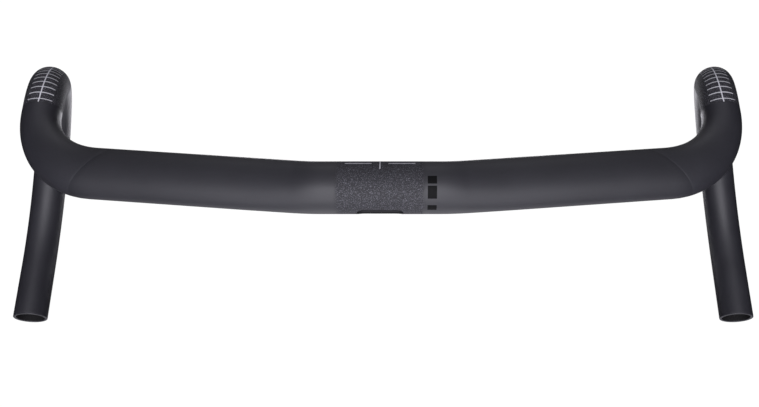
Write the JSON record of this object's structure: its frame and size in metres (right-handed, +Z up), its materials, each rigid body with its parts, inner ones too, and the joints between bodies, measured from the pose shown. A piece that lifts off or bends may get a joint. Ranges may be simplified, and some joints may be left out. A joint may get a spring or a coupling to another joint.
{
  "type": "drop handlebar",
  "caption": "Flared drop handlebar with flattened tops, a round stem clamp with a rear cable port, lever scales on the hooks and open drop ends.",
  "frame": {"origin": "centre of the stem clamp, on its axis", "axes": "+X towards the rider's right along the clamp's axis, +Y forward, +Z up"},
  "size_m": [0.5582, 0.1476, 0.1738],
  "materials": {
    "carbon_top": "satin dark grey moulded carbon with a faint cool tint",
    "carbon_drop": "satin dark grey moulded carbon",
    "carbon_inner": "raw moulded carbon sleeve",
    "adhesive": "cured epoxy film",
    "grit": "coarse speckled friction coat",
    "white_ink": "white printed ink",
    "gloss_ink": "gloss black printed ink"
  },
  "bodies": {
    "root": {"centre_section": "carbon_top", "clamp_liner": "carbon_inner", "clamp_grip_coat": "grit", "centre_tick": "white_ink", "right_setting_line": "white_ink", "left_setting_line": "white_ink", "side_block_front": "gloss_ink", "side_block_middle": "gloss_ink", "side_block_rear": "gloss_ink", "right_drop_section": "carbon_drop", "right_bond_film": "adhesive", "right_lever_grip_coat": "grit", "right_lever_scale": "white_ink", "left_drop_section": "carbon_drop", "left_bond_film": "adhesive", "left_lever_grip_coat": "grit", "left_lever_scale": "white_ink"}
  },
  "joints": []
}
